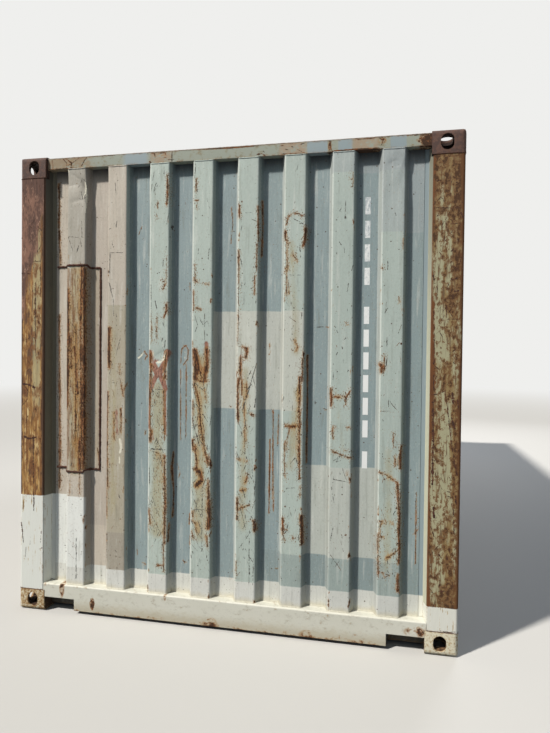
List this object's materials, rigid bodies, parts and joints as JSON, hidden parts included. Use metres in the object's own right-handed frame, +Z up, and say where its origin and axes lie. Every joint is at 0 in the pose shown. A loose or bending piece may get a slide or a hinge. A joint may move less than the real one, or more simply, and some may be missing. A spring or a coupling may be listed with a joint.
{
  "type": "shipping container",
  "caption": "Steel dry cargo container on cast corner fittings, with corrugated walls, a blind front end and closed double doors at the rear.",
  "frame": {"origin": "on the ground, in the middle of the rectangle under the four bottom castings", "axes": "+Z up, +Y along the container from the blind front end to the doors, +X to the right for someone who faces the front end"},
  "size_m": [2.438, 6.058, 2.591],
  "materials": {
    "corner_castings": "cast steel, painted once and mostly brown rust now",
    "front_posts": "olive cream paint worn to brown rust streaks, white at the foot",
    "rear_posts": "weathered warm grey paint with rust at the edges",
    "front_sill": "chalky warm white paint with rust along the edges",
    "front_header": "olive cream paint with brown rust spots",
    "door_beams": "weathered warm grey paint with rust at the edges",
    "bottom_rails": "weathered warm grey paint with rust at the edges",
    "top_rails": "weathered warm grey paint with rust at the edges",
    "front_wall": "faded grey-green paint over blue-grey, scratched and rust stained",
    "side_walls": "chalky warm grey paint with rust stains",
    "roof": "chalky warm grey paint with rust and dust in the troughs",
    "base": "black underseal with dust and rust",
    "plywood_floor": "hardwood plywood, oiled and scuffed",
    "doors": "chalky warm grey paint with rust runs",
    "door_gear": "galvanised steel, dull, with rust at the joints",
    "hinges": "forged steel, painted with the doors",
    "door_seals": "black rubber, dusty",
    "vents": "moulded plastic, painted over with the wall"
  },
  "bodies": {
    "root": {"front_bottom_left_casting": "corner_castings", "front_bottom_right_casting": "corner_castings", "front_top_left_casting": "corner_castings", "front_top_right_casting": "corner_castings", "rear_bottom_left_casting": "corner_castings", "rear_bottom_right_casting": "corner_castings", "rear_top_left_casting": "corner_castings", "rear_top_right_casting": "corner_castings", "front_left_post": "front_posts", "front_right_post": "front_posts", "rear_left_post": "rear_posts", "rear_right_post": "rear_posts", "front_sill": "front_sill", "front_header": "front_header", "door_sill": "door_beams", "door_header": "door_beams", "left_bottom_rail": "bottom_rails", "right_bottom_rail": "bottom_rails", "left_top_rail": "top_rails", "right_top_rail": "top_rails", "front_wall": "front_wall", "left_wall": "side_walls", "right_wall": "side_walls", "roof_panel": "roof", "front_roof_plate": "roof", "rear_roof_plate": "roof", "cross_members": "base", "fork_pockets": "base", "floor_boards": "plywood_floor", "left_door_frame": "doors", "right_door_frame": "doors", "left_door_panel": "doors", "right_door_panel": "doors", "left_lock_rods": "door_gear", "right_lock_rods": "door_gear", "rod_brackets": "door_gear", "cam_keepers": "door_gear", "door_handles": "door_gear", "handle_catches": "door_gear", "left_door_hinges": "hinges", "right_door_hinges": "hinges", "door_seals": "door_seals", "side_vents": "vents"}
  },
  "joints": []
}
